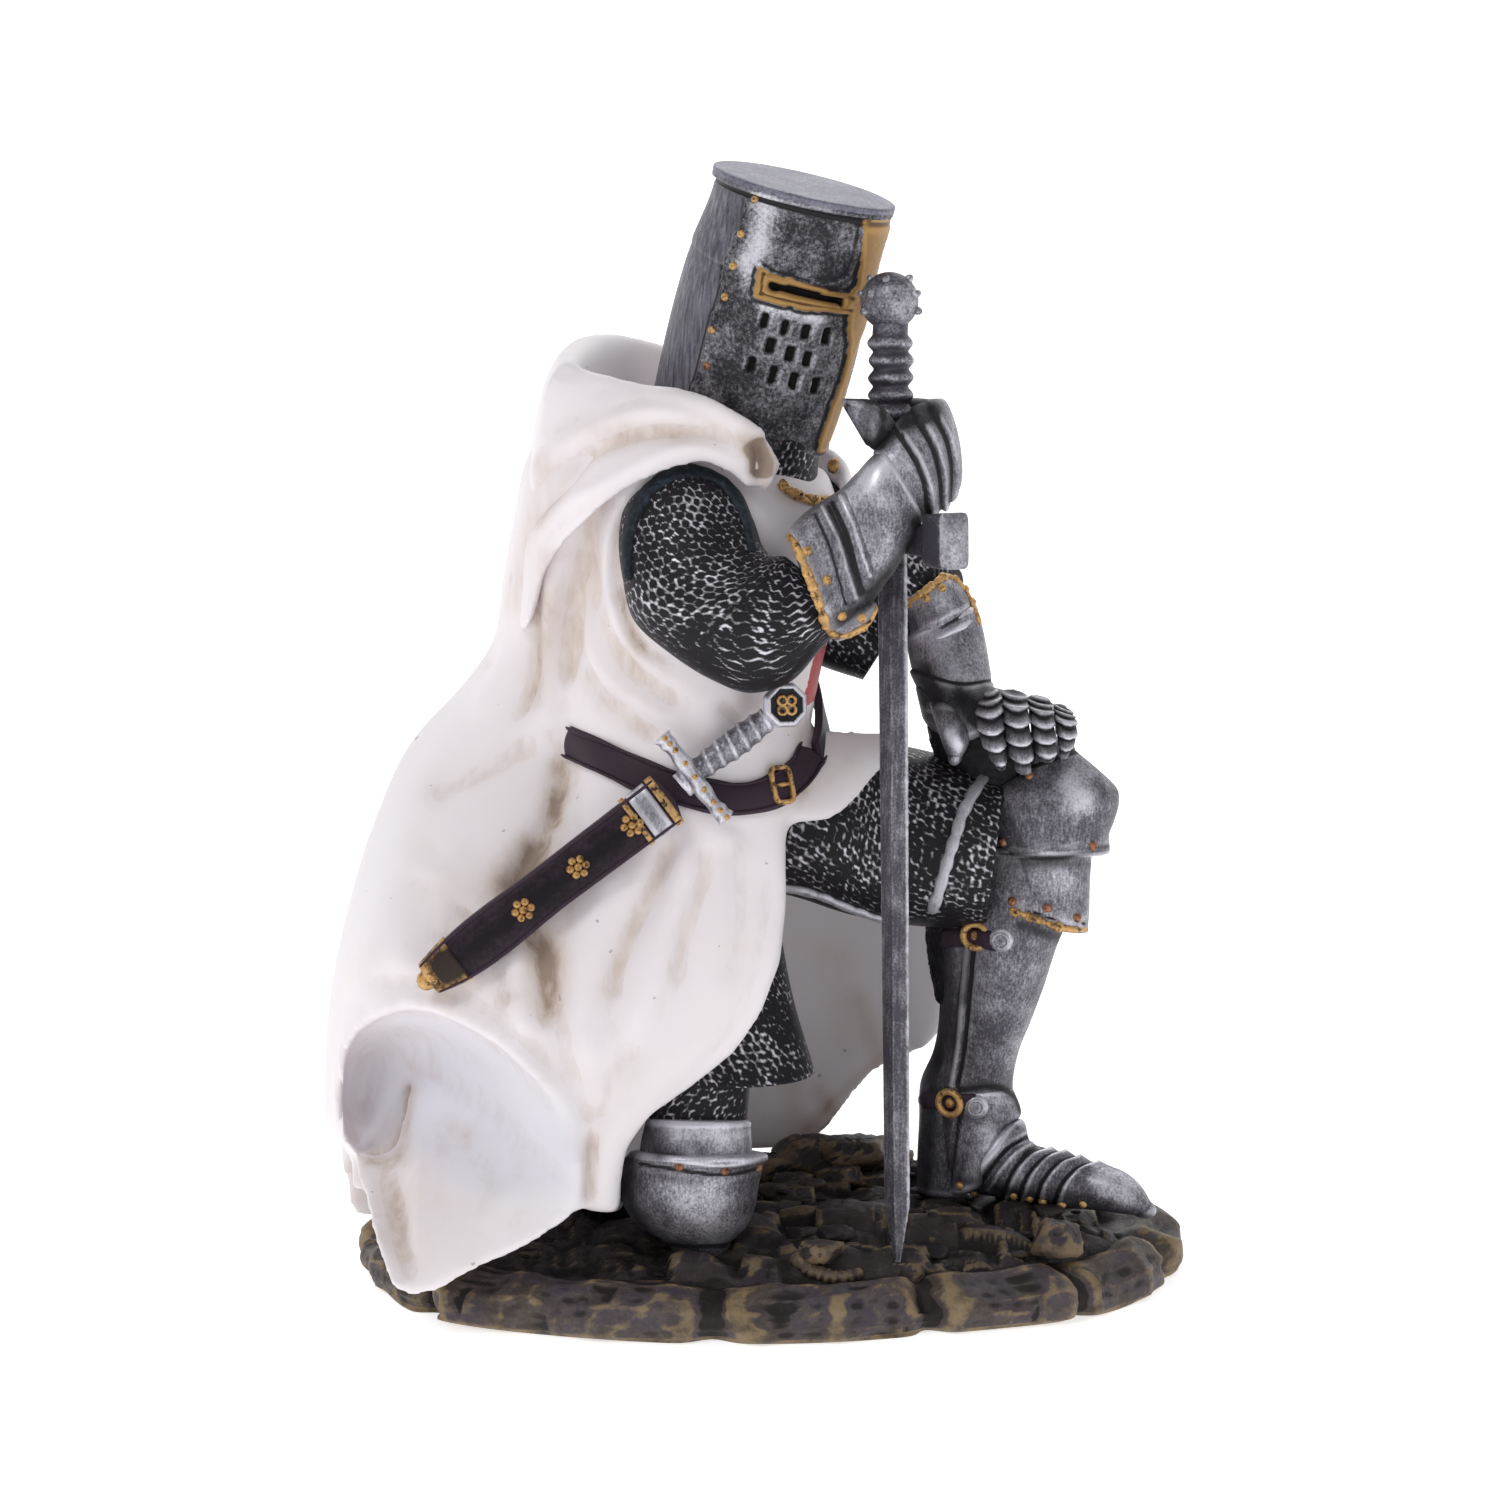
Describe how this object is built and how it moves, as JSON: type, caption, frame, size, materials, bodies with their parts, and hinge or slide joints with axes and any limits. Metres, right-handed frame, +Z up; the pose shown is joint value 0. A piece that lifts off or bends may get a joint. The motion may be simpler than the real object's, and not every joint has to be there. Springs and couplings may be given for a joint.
{
  "type": "medieval knight statue",
  "caption": "Kneeling knight in great helm, mail and long cloak, hands on an upright sword and a raised knee, on an oval rocky base.",
  "frame": {"origin": "a point on the flat underside of the rock base, near its middle", "axes": "+Z up, +X to the side where the sword and the raised knee are, -Y the side that is shown"},
  "size_m": [0.1311, 0.0867, 0.1692],
  "materials": {
    "painted_rock": "cast resin, painted dark umber with ochre edges, matt",
    "painted_figure": "cast resin, painted: white cloth, silvered black mail and plate, dark leather, gold trim",
    "painted_sword": "cast resin, painted black and dry brushed with silver"
  },
  "bodies": {
    "root": {"rock_base": "painted_rock", "knight": "painted_figure", "sword": "painted_sword"}
  },
  "joints": []
}
